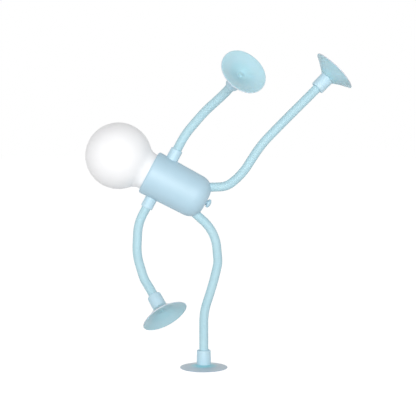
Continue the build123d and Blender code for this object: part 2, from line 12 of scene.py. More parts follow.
import bmesh
import bpy
import numpy as np
from mathutils import Euler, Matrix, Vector


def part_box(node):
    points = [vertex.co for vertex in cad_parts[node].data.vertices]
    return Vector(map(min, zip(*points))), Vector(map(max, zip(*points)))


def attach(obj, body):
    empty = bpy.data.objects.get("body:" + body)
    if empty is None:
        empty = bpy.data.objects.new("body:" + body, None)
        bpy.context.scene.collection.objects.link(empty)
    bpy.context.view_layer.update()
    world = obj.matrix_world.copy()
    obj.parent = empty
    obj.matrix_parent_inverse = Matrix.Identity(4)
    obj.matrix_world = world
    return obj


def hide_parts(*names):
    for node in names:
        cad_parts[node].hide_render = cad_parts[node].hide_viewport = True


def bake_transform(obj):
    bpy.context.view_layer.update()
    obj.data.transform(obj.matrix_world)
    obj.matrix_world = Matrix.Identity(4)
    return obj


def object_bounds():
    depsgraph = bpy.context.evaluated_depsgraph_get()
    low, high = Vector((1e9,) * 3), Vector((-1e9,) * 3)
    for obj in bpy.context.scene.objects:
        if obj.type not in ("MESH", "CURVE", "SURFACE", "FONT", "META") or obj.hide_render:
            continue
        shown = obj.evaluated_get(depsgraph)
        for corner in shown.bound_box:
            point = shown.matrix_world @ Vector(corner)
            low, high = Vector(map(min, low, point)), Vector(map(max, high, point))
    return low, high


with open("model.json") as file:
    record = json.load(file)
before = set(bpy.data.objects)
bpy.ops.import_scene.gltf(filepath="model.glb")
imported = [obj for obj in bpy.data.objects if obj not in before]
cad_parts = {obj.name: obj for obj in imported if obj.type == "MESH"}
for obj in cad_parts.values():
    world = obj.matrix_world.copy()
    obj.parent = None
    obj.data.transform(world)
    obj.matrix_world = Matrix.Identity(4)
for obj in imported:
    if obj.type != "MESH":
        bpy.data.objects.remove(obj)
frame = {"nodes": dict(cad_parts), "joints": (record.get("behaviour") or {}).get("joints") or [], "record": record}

MM = 0.001
cad_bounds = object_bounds()
joints = {joint["name"]: joint for joint in frame["joints"]}
mounts = {mount["name"]: mount for mount in frame["record"]["mounts"]}

# %% [markdown]
# ## The camera
#
# The photograph is a catalogue picture, taken with a long lens from about a metre away and a little
# above the lamp's middle. A long lens keeps the near and the far cups at almost one scale. The tilt
# comes from how open the ellipse of the standing cup looks, and the lens from the lamp's size in
# the picture. A camera without perspective would be simpler, but it would lose the small difference
# in size between the cups.

# %% Set the camera at the photograph's viewing angle
lens_mm = 114.75
camera_place = Vector((3.2, -996.0, 212.8)) * MM
camera_tilt_down = np.radians(5.2)

camera_data = bpy.data.cameras.new("camera")
camera_data.lens = lens_mm
camera_data.sensor_width = 36.0
camera = bpy.data.objects.new("camera", camera_data)
camera.location = camera_place
camera.rotation_euler = Euler((np.pi / 2 - camera_tilt_down, 0.0, 0.0))
bpy.context.scene.collection.objects.link(camera)
bpy.context.scene.camera = camera
print("camera distance in metres", round(camera_place.length, 3))

# %% [markdown]
# ## Small tools for materials
#
# Colours are read off a screen, so they are written as sRGB hex values. Blender's shaders work in
# linear light, and one function turns the first into the second. A second small function adds a
# shader node of any kind with its settings and links, which keeps each material short enough to
# read, and leaves the node's own names in view for whoever wants to find it in Blender's editor.


# %% Colour and shader node helpers
def linear(hex_colour):
    """sRGB hex to linear RGBA: below 0.04045 a channel is divided by 12.92, and above it the
    channel plus 0.055 is divided by 1.055 and raised to the power 2.4."""
    channels = np.array([int(hex_colour[i : i + 2], 16) for i in (1, 3, 5)]) / 255
    low, high = channels / 12.92, ((channels + 0.055) / 1.055) ** 2.4
    return (*np.where(channels <= 0.04045, low, high), 1.0)


def add(tree, kind, settings=(), links=()):
    """Adds a shader node. Settings are socket or property names with values, or the stops of a
    colour ramp, each a position and a linear colour. Links are the node's input sockets with the
    output sockets that feed them."""
    node = tree.nodes.new(kind)
    for name, value in dict(settings).items():
        if name == "stops":
            elements = node.color_ramp.elements
            while len(elements) < len(value):
                elements.new(0.5)
            for element, (position, colour) in zip(elements, value):
                element.position = position
                element.color = colour
        elif name in node.inputs:
            node.inputs[name].default_value = value
        else:
            setattr(node, name, value)
    for name, source in dict(links).items():
        tree.links.new(source, node.inputs[name])
    return node


def new_material(name):
    """An empty node material and its tree."""
    material = bpy.data.materials.new(name)
    material.use_nodes = True
    material.node_tree.nodes.clear()
    return material, material.node_tree


print("the housing's blue in linear light", [round(c, 3) for c in linear("#B6D5E5")])

# %% [markdown]
# ## Moulded plastics
#
# The housing is ABS, injected into a steel mould whose walls were spark eroded. That gives an even,
# very fine grain that scatters light, so the plastic shows a broad soft highlight and no mirror
# image. The grain is about 0.1 mm wide, too fine to show at this size, so it is drawn 0.35 mm wide.
# Moulded colour is even, with only a slow drift where the melt cooled at different rates.
#
# The button is the same ABS from a smoother mould, so its highlight is a little tighter. The
# collars are soft PVC: light goes a short way into them, which makes their edges look milky. The
# sleeves are PVC pushed through a die and then ribbed, with a duller skin. The hidden plastics
# follow the same recipe: white ABS for the seat plate, black nylon for the switch, foam for the
# cell's pad, which is rough enough to look flat, and red PVC round the leads.
#
# One colour with one roughness would be quicker, but it looks like no real plastic. So slow noise
# moves both a little, and fine noise raises the grain.


# %% One recipe for a moulded plastic, and the plastics made from it
drift_width, roughness_swing = 14 * MM, 0.04


def moulded_plastic(name, colour, drift, roughness, grain_mm, depth_mm, gloss=0.5, soft=0.0):
    """Moulded plastic: a base colour that drifts slowly, a fine bump and a nearly even roughness.
    Grain is the bump's width and depth its height, gloss the strength of the mirror part, and soft
    the share of light that goes into the plastic and comes out beside."""
    material, tree = new_material(name)
    place = add(tree, "ShaderNodeTexCoord").outputs["Object"]
    slow = add(
        tree,
        "ShaderNodeTexNoise",
        {"Scale": 1 / drift_width, "Detail": 2.0, "Roughness": 0.5},
        {"Vector": place},
    )
    tint = add(
        tree,
        "ShaderNodeValToRGB",
        {"stops": [(0.3, linear(colour)), (0.7, linear(drift))]},
        {"Fac": slow.outputs["Fac"]},
    )
    fine = add(
        tree,
        "ShaderNodeTexNoise",
        {"Scale": 1 / (grain_mm * MM), "Detail": 3.0, "Roughness": 0.6},
        {"Vector": place},
    )
    bump = add(
        tree,
        "ShaderNodeBump",
        {"Strength": 1.0, "Distance": depth_mm * MM},
        {"Height": fine.outputs["Fac"]},
    )
    worn = add(
        tree,
        "ShaderNodeMapRange",
        {"To Min": roughness - roughness_swing, "To Max": roughness + roughness_swing},
        {"Value": slow.outputs["Fac"]},
    )
    shader = add(
        tree,
        "ShaderNodeBsdfPrincipled",
        {
            "Specular IOR Level": gloss,
            "IOR": 1.53,
            "Subsurface Weight": soft,
            "Subsurface Radius": (1.0, 1.2, 1.4),
            "Subsurface Scale": 0.8 * MM,
        },
        {
            "Base Color": tint.outputs["Color"],
            "Normal": bump.outputs["Normal"],
            "Roughness": worn.outputs["Result"],
        },
    )
    add(tree, "ShaderNodeOutputMaterial", links={"Surface": shader.outputs[0]})
    return material


housing_abs = moulded_plastic(
    "housing_abs_spark_eroded", "#B6D5E5", "#B2D2E2", 0.50, 0.35, 0.012, gloss=0.9
)
button_abs = moulded_plastic("button_abs_satin", "#B6D8E7", "#B2D5E4", 0.46, 0.35, 0.008, gloss=0.7)
collar_pvc = moulded_plastic(
    "collar_pvc_satin_moulded", "#BFDDEA", "#BBDAE8", 0.45, 0.4, 0.008, gloss=0.7, soft=0.1
)
sleeve_pvc = moulded_plastic(
    "sleeve_pvc_extruded_ribbed", "#B8DAE4", "#B3D7E2", 0.48, 0.5, 0.010, gloss=0.4, soft=0.05
)
plate_abs = moulded_plastic("seat_plate_abs_white", "#E6E8E8", "#E2E4E4", 0.50, 0.35, 0.010)
switch_nylon = moulded_plastic("switch_nylon_black", "#1C1C1E", "#202022", 0.42, 0.3, 0.006)
foam_pad = moulded_plastic("foam_pad_black", "#26262A", "#1E1E22", 0.85, 0.4, 0.080, gloss=0.2)
lead_pvc = moulded_plastic("lead_pvc_red", "#A8201C", "#9E1C18", 0.42, 0.3, 0.006)
plastics = (
    housing_abs,
    button_abs,
    collar_pvc,
    sleeve_pvc,
    plate_abs,
    switch_nylon,
    foam_pad,
    lead_pvc,
)
print("plastics", [plastic.name for plastic in plastics])

# %% [markdown]
# ## The soft cups
#
# A suction cup is soft PVC, tinted and slightly clear, injected into a polished mould. So its
# highlight is sharper than the housing's, and only faint flow marks ripple it. The thick middle
# looks solid and a shade greener. The thin skirt lets the white behind it through, so it looks
# paler and a little grey; here that light coming through is painted into the skirt's colour.
#
# A fully clear shader could find all this by itself, but it needs many bounces of light and stays
# grainy, so only a small share of light goes through here. The colour follows the thickness
# instead, and the thickness follows the distance from the axis, which each cup keeps in an
# attribute: the greener middle is the PVC's own tint, and the paler, greyer skirt and lip are
# painted light from behind. So one material shows both. The cup that the lamp stands on is
# stretched flat, so its skirt is thinner and greyer, and it gets a second mix of the same PVC.


# %% Clear tinted PVC, with painted light from behind where it is thin
thick_until, thin_from, lip_from = 0.12, 0.45, 0.97
flow_width, flow_depth = 3 * MM, 0.02 * MM


def clear_pvc(name, thick, thin, rim):
    """Soft clear PVC. The attribute thin runs from 0 in the middle to 1 at the rim, and the colour
    goes from thick to thin between the first two stops and to the rim's after the last one. The
    thin and rim colours are painted light, the background showing through the thin skirt and lip."""
    material, tree = new_material(name)
    thin_part = add(tree, "ShaderNodeAttribute", {"attribute_name": "thin"}).outputs["Fac"]
    place = add(tree, "ShaderNodeTexCoord").outputs["Object"]
    stops = [
        (0.0, linear(thick)),
        (thick_until, linear(thick)),
        (thin_from, linear(thin)),
        (lip_from, linear(thin)),
        (1.0, linear(rim)),
    ]
    # The paler thin and rim stops are painted light from behind; the thick stop is the PVC's own tint.
    tint = add(tree, "ShaderNodeValToRGB", {"stops": stops}, {"Fac": thin_part})
    flow = add(
        tree,
        "ShaderNodeTexNoise",
        {"Scale": 1 / flow_width, "Detail": 2.0},
        {"Vector": place},
    )
    bump = add(
        tree,
        "ShaderNodeBump",
        {"Strength": 1.0, "Distance": flow_depth},
        {"Height": flow.outputs["Fac"]},
    )
    shader = add(
        tree,
        "ShaderNodeBsdfPrincipled",
        {
            "Roughness": 0.30,
            "IOR": 1.45,
            "Specular IOR Level": 0.2,
            "Transmission Weight": 0.15,
            "Subsurface Weight": 0.25,
            "Subsurface Radius": (1.0, 1.3, 1.5),
            "Subsurface Scale": 1.5 * MM,
        },
        {"Base Color": tint.outputs["Color"], "Normal": bump.outputs["Normal"]},
    )
    add(tree, "ShaderNodeOutputMaterial", links={"Surface": shader.outputs[0]})
    return material


# Thick is the PVC's own tint; thin and rim are painted light showing through the skirt and lip.
cup_pvc = clear_pvc("cup_pvc_clear_tinted", "#BAE4EF", "#C4E7F2", "#E4E8F4")
pressed_pvc = clear_pvc("cup_pvc_pressed_thin_skirt", "#A2E4F2", "#CADEEB", "#C6D0DE")
print("cup materials", cup_pvc.name, pressed_pvc.name)

# %% [markdown]
# ## The frosted globe
#
# The globe is polycarbonate with a white diffusing filler, blown and left satin. The filler turns
# light round inside the wall, so nothing behind it shows, the middle looks almost white and the
# edge falls off to a soft neutral grey. The light that has crossed the hollow ball comes out evenly
# all over it. Following those paths would take many bounces, so a weak glow stands for them.


# %% Milky polycarbonate
haze_width, satin_width, satin_depth = 18 * MM, 0.5 * MM, 0.006 * MM


def milky_diffuser(name, colour, drift, inner_glow):
    """Filled polycarbonate: nearly white, deep scattering, a satin skin and a weak inner glow."""
    material, tree = new_material(name)
    place = add(tree, "ShaderNodeTexCoord").outputs["Object"]
    haze = add(
        tree,
        "ShaderNodeTexNoise",
        {"Scale": 1 / haze_width, "Detail": 1.0},
        {"Vector": place},
    )
    tint = add(
        tree,
        "ShaderNodeValToRGB",
        {"stops": [(0.3, linear(colour)), (0.7, linear(drift))]},
        {"Fac": haze.outputs["Fac"]},
    )
    satin = add(
        tree,
        "ShaderNodeTexNoise",
        {"Scale": 1 / satin_width, "Detail": 2.0},
        {"Vector": place},
    )
    bump = add(
        tree,
        "ShaderNodeBump",
        {"Strength": 1.0, "Distance": satin_depth},
        {"Height": satin.outputs["Fac"]},
    )
    shader = add(
        tree,
        "ShaderNodeBsdfPrincipled",
        {
            "Roughness": 0.42,
            "IOR": 1.58,
            "Specular IOR Level": 0.4,
            "Subsurface Weight": 0.35,
            "Subsurface Radius": (1.0, 1.0, 1.0),
            "Subsurface Scale": 2.0 * MM,
            "Emission Color": linear("#FFFFFF"),
            "Emission Strength": inner_glow,
        },
        {"Base Color": tint.outputs["Color"], "Normal": bump.outputs["Normal"]},
    )
    add(tree, "ShaderNodeOutputMaterial", links={"Surface": shader.outputs[0]})
    return material


globe_pc = milky_diffuser("globe_polycarbonate_frosted", "#F7F7F9", "#F5F5F7", 0.05)
print("globe material", globe_pc.name)

# %% [markdown]
# ## Metals, boards and the cell
#
# The hidden pieces get true finishes too. Drawn steel wire is the darkest metal and has fine lines
# along it. Zinc plating on the crimps and screws is paler, and nickel on the socket is the
# smoothest, so it shines most. A circuit board is glass fibre under lacquer, green for the controls
# and white under the light, where it throws light back. The chips are yellow phosphor in clear
# silicone, which scatters light a little. The cell is a pouch of aluminium foil with a soft uneven
# sheen.
#
# A shader with a drawn-out highlight could show how metal was worked, but such a highlight is lost
# when the finish is baked into pictures. Streaks of noise in the colour and the roughness stay.


# %% Metals and boards
streak_stretch, metal_roughness_swing = 0.2, 0.08


def drawn_metal(name, colour, dark, roughness, line_mm):
    """Metal with fine streaks: noise drawn out five times along one axis tints it and varies its
    roughness."""
    material, tree = new_material(name)
    place = add(tree, "ShaderNodeTexCoord").outputs["Object"]
    drawn_out = add(
        tree, "ShaderNodeMapping", {"Scale": (1.0, 1.0, streak_stretch)}, {"Vector": place}
    )
    streak = add(
        tree,
        "ShaderNodeTexNoise",
        {"Scale": 1 / (line_mm * MM), "Detail": 4.0},
        {"Vector": drawn_out.outputs["Vector"]},
    )
    tint = add(
        tree,
        "ShaderNodeValToRGB",
        {"stops": [(0.25, linear(dark)), (0.75, linear(colour))]},
        {"Fac": streak.outputs["Fac"]},
    )
    rough = add(
        tree,
        "ShaderNodeMapRange",
        {"To Min": roughness - metal_roughness_swing, "To Max": roughness + metal_roughness_swing},
        {"Value": streak.outputs["Fac"]},
    )
    shader = add(
        tree,
        "ShaderNodeBsdfPrincipled",
        {"Metallic": 1.0},
        {"Base Color": tint.outputs["Color"], "Roughness": rough.outputs["Result"]},
    )
    add(tree, "ShaderNodeOutputMaterial", links={"Surface": shader.outputs[0]})
    return material


wire_steel = drawn_metal("wire_steel_drawn_annealed", "#9A9894", "#7E7C78", 0.42, 0.4)
crimp_zinc = drawn_metal("crimp_steel_zinc_plated", "#B4B2AC", "#9C9A94", 0.38, 0.8)
socket_nickel = drawn_metal("socket_steel_nickel_plated", "#B8B6B0", "#A4A29C", 0.28, 1.0)
board_lacquer = moulded_plastic("board_lacquer_green", "#14522C", "#124A28", 0.32, 0.6, 0.010)
light_board = moulded_plastic("light_board_white_lacquer", "#EDEFEF", "#E9EBEB", 0.35, 0.6, 0.006)
chip_phosphor = moulded_plastic(
    "chip_silicone_phosphor", "#F2D45C", "#EBCB52", 0.30, 0.5, 0.010, soft=0.2
)
foil_pouch = drawn_metal("cell_aluminium_foil_pouch", "#C6C8CC", "#B0B2B6", 0.45, 3.0)
metals = (wire_steel, crimp_zinc, socket_nickel, foil_pouch)
print("metals", [metal.name for metal in metals])
print("board finishes", board_lacquer.name, light_board.name, chip_phosphor.name)

# %% [markdown]
# ## Surfaces from arrays
#
# Every new piece is a grid of points: one direction runs round the piece and the other runs along
# an outline. The whole grid is worked out with numpy at once and handed to Blender in one go. Where
# an outline touches the axis, its ring of points falls together, and merging those points closes
# the pole.


# %% A mesh from a grid of rings
merge_distance, crease_angle = 0.0001 * MM, np.radians(42)


def skin(name, rings, material, values=None, closed_along=True):
    """Joins rings of points, an array of rings by points by three, to a closed mesh. Point j of
    ring i meets point j + 1 and ring i + 1, both counted round, and with closed_along the last ring
    meets the first. Values, one for each ring, are kept as the attribute thin."""
    count, around = rings.shape[:2]
    ring = np.arange(count if closed_along else count - 1)[:, None]
    step = np.arange(around)[None, :]
    after, beside = (ring + 1) % count, (step + 1) % around
    here, there = ring * around, after * around
    corners = [here + step, here + beside, there + beside, there + step]
    faces = np.stack(np.broadcast_arrays(*corners), -1).reshape(-1, 4)
    mesh = bpy.data.meshes.new(name)
    mesh.from_pydata(rings.reshape(-1, 3), [], faces)
    if values is not None:
        attribute = mesh.attributes.new("thin", "FLOAT", "POINT")
        attribute.data.foreach_set("value", np.repeat(values, around).astype(np.float32))
    work = bmesh.new()
    work.from_mesh(mesh)
    bmesh.ops.remove_doubles(work, verts=work.verts, dist=merge_distance)
    bmesh.ops.recalc_face_normals(work, faces=work.faces)
    work.to_mesh(mesh)
    work.free()
    mesh.polygons.foreach_set("use_smooth", np.ones(len(mesh.polygons), bool))
    mesh.set_sharp_from_angle(angle=crease_angle)
    mesh.materials.append(material)
    piece = bpy.data.objects.new(name, mesh)
    bpy.context.scene.collection.objects.link(piece)
    return piece


print("a crease is sharper than degrees", round(float(np.degrees(crease_angle)), 1))


# %% Outlines, and pieces turned from them
def line(start, end, count=2):
    """Points spread evenly from start up to, not with, end, both as radius and height."""
    share = np.arange(count)[:, None] / count
    return np.array(start) * (1 - share) + np.array(end) * share


def bend(start, corner, end, count=8):
    """Points along a quadratic curve from start, drawn towards corner, up to, not with, end: the
    squares of the shares left, both, and gone weigh the three points."""
    start, corner, end = (np.array(point) for point in (start, corner, end))
    t = np.arange(count)[:, None] / count
    return start * (1 - t) ** 2 + 2 * corner * t * (1 - t) + end * t**2


def rounded(points, radius, count=5):
    """A closed outline with each of its corners turned into a short curve: the curve starts and
    ends a radius away from the corner, or a third of the side where that is shorter. A radius may
    be one number or one for each corner."""
    points = np.array(points, float)
    radii = np.broadcast_to(np.array(radius, float), len(points))
    before, after = np.roll(points, 1, 0) - points, np.roll(points, -1, 0) - points
    sides = [np.linalg.norm(side, axis=1) for side in (before, after)]
    cuts = [np.minimum(radii, side / 3)[:, None] for side in sides]
    starts = points + before / sides[0][:, None] * cuts[0]
    ends = points + after / sides[1][:, None] * cuts[1]
    starts, corners, ends = starts[:, None], points[:, None], ends[:, None]
    t = (np.arange(count) / (count - 1))[None, :, None]
    curve = starts * (1 - t) ** 2 + 2 * corners * t * (1 - t) + ends * t**2
    return curve.reshape(-1, 2)


def turned(name, outline, place, axis, material, around=96, values=None, limp=0.0):
    """Turns an outline of radius and height round an axis: a point is the place, plus its height
    along the axis, plus its radius times the cosine and sine of the angle along two directions
    square to the axis. An outline that starts on the axis also ends on it, and isn't joined up.
    Limp lifts the rim in slow waves, three and two of them round it, that grow with the cube of
    the radius."""
    axis = Vector(axis).normalized()
    across = axis.orthogonal().normalized()
    side = np.array(axis.cross(across))
    angle = np.linspace(0, 2 * np.pi, around, endpoint=False)
    spoke = np.cos(angle)[:, None] * np.array(across) + np.sin(angle)[:, None] * side
    radius, height = outline[:, 0], outline[:, 1]
    waves = np.sin(3 * angle + 1) + 0.6 * np.sin(2 * angle)
    wave = limp * (radius / radius.max())[:, None] ** 3 * waves
    lift = (height[:, None] + wave)[..., None] * np.array(axis)
    rings = np.array(place) + lift + radius[:, None, None] * spoke
    return skin(name, rings, material, values, closed_along=radius[0] > merge_distance)


print("a bend's middle lies at", bend((1, 0), (1, 1), (0, 1), 2)[1])

# %% [markdown]
# ## Where the housing is
#
# The housing hangs at an angle, so its own directions are read from the frame: the button's joint
# points along its axis, and the charging socket's mount gives the back and a point to measure from.

# %% The housing's own directions
usb_reach, usb_place = 15.7 * MM, 28.0 * MM
down = -Vector(joints["button_press"]["axis"]).normalized()
back = Vector(mounts["charging_socket"]["axis"]).normalized()
side = (-back).cross(down)
rim = Vector(mounts["charging_socket"]["pos_m"]) - back * usb_reach - down * usb_place
print("housing rim at", [round(v / MM, 2) for v in rim], "axis", [round(v, 4) for v in down])

# %% [markdown]
# ## The globe
#
# The real globe is blown as one shell: a ball that flares into a short neck, which snaps into the
# housing. It could be a sphere joined to a tube, but the joint would show as a crease. One outline
# turned round the axis gives the ball, the flare and the neck in a single smooth skin, and walking
# back along the inside gives it its wall.

# %% Make the globe
globe_radius, globe_centre, globe_wall = 24.99 * MM, -25.53 * MM, 1.2 * MM
neck_radius, neck_depth, neck_flare = 14.4 * MM, 3.9 * MM, 9.0 * MM
bead, bead_place = 0.45 * MM, 2.6 * MM


def globe_outline(ball, neck, flare, end, count):
    """Half outline of the globe: an arc of the ball from its pole to where a fillet of radius
    flare starts, the fillet, and the straight neck. The fillet's centre lies neck plus flare from
    the axis and ball plus flare from the ball's centre."""
    reach = np.sqrt((ball + flare) ** 2 - (neck + flare) ** 2)
    meet = np.arctan2(neck + flare, reach)
    angle = np.linspace(np.pi, meet, count)
    arc = np.stack([ball * np.sin(angle), globe_centre + ball * np.cos(angle)], 1)
    turn = np.linspace(meet, np.pi / 2, 14)[1:]
    fillet = np.stack(
        [neck + flare - flare * np.sin(turn), globe_centre + reach - flare * np.cos(turn)], 1
    )
    return np.concatenate([arc, fillet, [(neck, end)]])


outside = globe_outline(globe_radius, neck_radius, neck_flare, bead_place - bead, 72)
ring_angle = np.linspace(-np.pi / 2, np.pi / 2, 9)
bead_round = bead * np.stack([np.cos(ring_angle), np.sin(ring_angle)], 1)
bead_ring = np.array((neck_radius, bead_place)) + bead_round
inner_ball, inner_neck = globe_radius - globe_wall, neck_radius - globe_wall
inside = globe_outline(inner_ball, inner_neck, neck_flare + globe_wall, neck_depth, 48)
globe_ring = np.concatenate([outside, bead_ring, [(neck_radius, neck_depth)], inside[::-1]])
globe = turned("globe_diffuser", globe_ring, rim, down, globe_pc, around=128)
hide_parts("bulb_globe")
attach(globe, "torso")
print("globe faces", len(globe.data.polygons))

# %% [markdown]
# ## Collars and button
#
# Collars and button are small turned shapes whose edges were rounded by the mould. Sharp corners
# would catch no light, so every corner of the outline becomes a short curve. The shoulder collars
# pass through the housing's wall and end in a flange behind it. The button's top is a shallow ball
# that gives way to its rounded edge, and its stem ends in a wider keeper inside the wall.

# %% Make the shoulder collars
hose_hole = 3.56 * MM
arm_station, housing_radius = 11.1 * MM, 17.1 * MM
shoulder_length, shoulder_radius = 7.7 * MM, 4.6 * MM
flange_radius, flange_back, flange_front = 5.0 * MM, -4.23 * MM, -3.03 * MM
shoulder_rounding = np.array([0.1, 0.2, 0.2, 0.1, 0.9, 0.12]) * MM
shoulder_outline = rounded(
    [
        (hose_hole, flange_back),
        (flange_radius, flange_back),
        (flange_radius, flange_front),
        (shoulder_radius, flange_front),
        (shoulder_radius, shoulder_length),
        (hose_hole, shoulder_length),
    ],
    shoulder_rounding,
)
for limb, way in (("raised", 1), ("lowered", -1)):
    wall = rim + side * (way * housing_radius) + down * arm_station
    node = f"{limb}_shoulder_collar"
    name = f"{limb}_arm_root_collar"
    collar = turned(name, shoulder_outline, wall, side * way, collar_pvc, around=72)
    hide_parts(node)
    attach(collar, "torso")
    low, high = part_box(node)
    print(node, "size in mm", [round(v / MM, 1) for v in high - low])

# %% Make the push button
housing_length, housing_wall = 48.9 * MM, 1.8 * MM
button_reach, button_gap, button_brim = 3.9 * MM, 1.0 * MM, 1.7 * MM
cap_radius, stem_radius, keeper_radius, keeper_height = 3.3 * MM, 2.0 * MM, 3.1 * MM, 0.9 * MM
keeper_clearance, dome_share = 0.2 * MM, 0.88
keeper_top = housing_length - housing_wall - keeper_clearance
keeper_low = keeper_top - keeper_height
cap_low, cap_top = housing_length + button_gap, housing_length + button_reach
brim_top, soft_edge = cap_low + button_brim, 0.35 * MM
dome_height = cap_top - brim_top
dome_ball = (cap_radius**2 + dome_height**2) / (2 * dome_height)
dome_angle = np.linspace(dome_share * np.arcsin(cap_radius / dome_ball), 0, 16)
dome_drop = dome_ball * (1 - np.cos(dome_angle))
cap_dome = np.stack([dome_ball * np.sin(dome_angle), cap_top - dome_drop], 1)
soft_start, soft_end = (cap_radius - soft_edge, cap_low), (cap_radius, cap_low + soft_edge)
button_outline = np.concatenate(
    [
        line((0, keeper_low), (keeper_radius, keeper_low)),
        line((keeper_radius, keeper_low), (keeper_radius, keeper_top)),
        line((keeper_radius, keeper_top), (stem_radius, keeper_top)),
        line((stem_radius, keeper_top), (stem_radius, cap_low)),
        line((stem_radius, cap_low), soft_start),
        bend(soft_start, (cap_radius, cap_low), soft_end, 5),
        line(soft_end, (cap_radius, brim_top - soft_edge)),
        bend((cap_radius, brim_top - soft_edge), (cap_radius, brim_top), cap_dome[0], 6),
        cap_dome,
    ]
)
button = turned("push_button", button_outline, rim, down, button_abs, around=64)
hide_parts("button_cap")
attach(button, "button")
print("button reaches in mm", round(button_reach / MM, 1))

# %% [markdown]
# ## Routes of the goosenecks
#
# A gooseneck is a soft ribbed sleeve over an annealed wire. It bends anywhere and stays as bent.
# In the model, each one is cut into lengths at its bending places, and each length is a straight
# start, a few arcs and a straight end. The same runs and turns are walked here: a run has a length,
# a turn in the picture plane and a lean away from the viewer. An arc turns the heading about one
# fixed axis, so the whole run has a closed form and needs no small steps.

# %% The runs of each limb
pivot_straight, collar_hose_depth = 4.1 * MM, 5.6 * MM
arm_root, arm_pivot_out = 16.43 * MM, 1.5 * MM
raised_root, standing_root, leg_pivot_out = 10.8 * MM, 14.8 * MM, 2.8 * MM
raised_splay = np.radians(30)
foot_height, foot_top = 31.1 * MM, 13.6 * MM
raised_arm_rows = [[(14.8, 12.2, -14.5)], [(14.8, 6.4, -15.0)], [(14.8, -5.1, -18.5)]]
lowered_arm_rows = [
    [(15.3, -25.2, -10.5)],
    [(15.3, -19.7, -11.5)],
    [(7.65, -15.1, -5.0), (7.65, 2.8, -5.5)],
]
raised_leg_rows = [
    [(9.4, -35.3, 0.0), (18.4, -20.3, 0.0)],
    [(19.1, 11.8, 0.0)],
    [(14.8, 0.9, 0.0)],
    [(14.8, 0.2, 8.0)],
]
standing_leg_rows = [
    [(14.7, 17.8, 0.0)],
    [(17.9, -5.0, 0.0), (3.0, 0.0, 0.0), (6.0, -17.7, 0.0)],
    [(23.8, -43.1, 0.0)],
]
all_rows = raised_arm_rows + lowered_arm_rows + raised_leg_rows + standing_leg_rows
print("lengths of gooseneck", len(all_rows))


# %% Walk a route as arcs
def turn_about(vectors, axis, angle):
    """Turns vectors about a unit axis by angles: each keeps its part along the axis, and the rest
    goes round by the cosine of the angle, with the axis crossed with it by the sine."""
    along = (vectors @ axis)[..., None] * axis
    cosine, sine = np.cos(angle)[..., None], np.sin(angle)[..., None]
    return along + (vectors - along) * cosine + np.cross(axis, vectors) * sine


def walk_run(point, heading, across, length, turn, lean, step):
    """Points, headings and side directions along one run. The spin is the turn about the level
    direction plus the lean about the one square to it and to the heading. Its size is the arc's
    angle, and the centre lies the length over the angle away. On an arc, the point is the centre
    plus the spoke turned about the axis, and both directions turn with it."""
    count = max(2, round(length / step))
    gone = np.arange(1, count + 1) / count * length
    if turn == 0 and lean == 0:
        points = point + gone[:, None] * heading
        return points, np.tile(heading, (count, 1)), np.tile(across, (count, 1))
    level = np.array((0.0, 1.0, 0.0)) - heading * heading[1]
    level /= np.linalg.norm(level)
    spin = np.radians(turn) * level + np.radians(lean) * np.cross(heading, level)
    angle = np.linalg.norm(spin)
    axis = spin / angle
    centre = point + np.cross(axis, heading) * length / angle
    swept = gone / length * angle
    spokes = turn_about(np.tile(point - centre, (count, 1)), axis, swept)
    headings = turn_about(np.tile(heading, (count, 1)), axis, swept)
    return centre + spokes, headings, turn_about(np.tile(across, (count, 1)), axis, swept)


def walk(point, heading, runs, step):
    """The whole centre line: points, headings, side directions and the length gone at each."""
    point, heading = np.array(point), np.array(heading)
    across = np.cross(heading, (0.0, 1.0, 0.0))
    across /= np.linalg.norm(across)
    rows = [(point[None], heading[None], across[None])]
    gone = [np.zeros(1)]
    for length, turn, lean in runs:
        last = [part[-1] for part in rows[-1]]
        rows.append(walk_run(*last, length, turn, lean, step))
        count = len(rows[-1][0])
        gone.append(gone[-1][-1] + np.arange(1, count + 1) / count * length)
    return [np.concatenate(parts) for parts in zip(*rows)] + [np.concatenate(gone)]


up, left = np.array((0.0, 0.0, 1.0)), np.array((-1.0, 0.0, 0.0))
quarter = walk_run(np.zeros(3), up, left, 10.0, 90.0, 0.0, 1.0)[0]
print("a quarter turn of length 10 ends at", np.round(quarter[-1], 3))

# %% [markdown]
# ## The ribbed sleeve
#
# The sleeve's ribs are rings about 1.5 mm apart and only a tenth of a millimetre deep. A bump map
# would leave the outline straight, so the ribs are real: the radius rises and falls with the length
# gone. A real sleeve bends with its limb without tearing. Here each piece of sleeve runs from the
# middle of one length to the middle of the next, round the hinge between them, and the wire inside
# is cut the same way.

# %% A tube along a centre line
hose_radius, hose_bore, wire_radius = 3.5 * MM, 1.5 * MM, 1.4 * MM


def tube(name, centre, across, heading, outer, inner, material, around=40):
    """A tube along a centre line: a ring's point is the centre plus the radius times the cosine
    along the side direction and the sine along heading crossed with it. The rings run out along the
    outside and back along the bore, which closes both ends. With no bore, each end has a pole."""
    angle = np.linspace(0, 2 * np.pi, around, endpoint=False)
    other = np.cross(heading, across)
    cosine, sine = np.cos(angle)[None, :, None], np.sin(angle)[None, :, None]
    spoke = cosine * across[:, None] + sine * other[:, None]
    outside = centre[:, None] + np.broadcast_to(outer, len(centre))[:, None, None] * spoke
    if inner:
        inside = (centre[:, None] + inner * spoke)[::-1]
        return skin(name, np.concatenate([outside, inside]), material)
    ends = [np.repeat(centre[i][None, None], around, 1) for i in (0, -1)]
    return skin(name, np.concatenate([ends[0], outside, ends[1]]), material, closed_along=False)


print("the sleeve's wall in mm", round((hose_radius - hose_bore) / MM, 2))

# %% Sleeve and wire of one gooseneck
rib_pitch, rib_depth, rings_per_rib = 1.5 * MM, 0.13 * MM, 8


